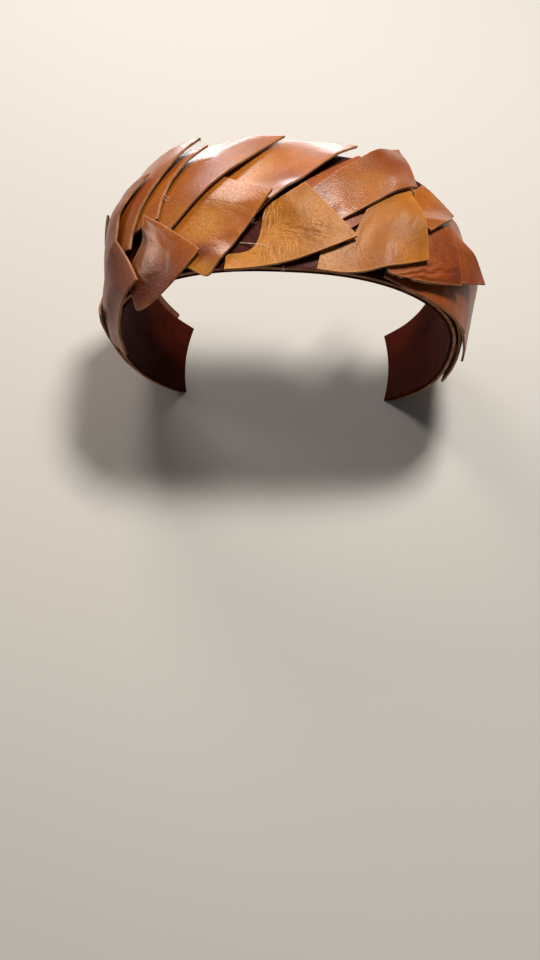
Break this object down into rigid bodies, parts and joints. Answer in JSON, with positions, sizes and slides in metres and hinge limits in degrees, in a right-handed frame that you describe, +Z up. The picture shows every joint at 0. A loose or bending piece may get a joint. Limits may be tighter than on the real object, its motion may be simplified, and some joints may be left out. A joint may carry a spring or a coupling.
{
  "type": "leather headband",
  "caption": "Wide stiff C-shaped headband of lined leather, covered by overlapping diagonal leaves of cut tan leather, standing on its two ends.",
  "frame": {"origin": "middle of the base of the box around the whole headband, on the surface that its two ends stand on", "axes": "+X from ear to ear towards the wearer's left, -Y the front of the head, +Z up"},
  "size_m": [0.1958, 0.1046, 0.1398],
  "materials": {
    "cover_leather": "smooth reddish tan leather, semi-matt, with a lighter cut edge",
    "lining_leather": "dark brown leather, matt",
    "leaf_leather": "tan grain leather with a soft sheen, lighter cut edges and a suede underside"
  },
  "bodies": {
    "root": {"band_cover": "cover_leather", "band_lining": "lining_leather", "front_leaf_01": "leaf_leather", "front_leaf_02": "leaf_leather", "front_leaf_03": "leaf_leather", "front_leaf_04": "leaf_leather", "front_leaf_05": "leaf_leather", "front_leaf_06": "leaf_leather", "front_leaf_07": "leaf_leather", "front_leaf_08": "leaf_leather", "front_leaf_09": "leaf_leather", "front_leaf_10": "leaf_leather", "rear_leaf_01": "leaf_leather", "rear_leaf_02": "leaf_leather", "rear_leaf_03": "leaf_leather", "rear_leaf_04": "leaf_leather", "rear_leaf_05": "leaf_leather", "rear_leaf_06": "leaf_leather", "rear_leaf_07": "leaf_leather", "rear_leaf_08": "leaf_leather", "rear_leaf_09": "leaf_leather", "rear_leaf_10": "leaf_leather", "rear_leaf_11": "leaf_leather", "rear_leaf_12": "leaf_leather", "end_leaf": "leaf_leather", "end_leaf_rear": "leaf_leather"}
  },
  "joints": []
}
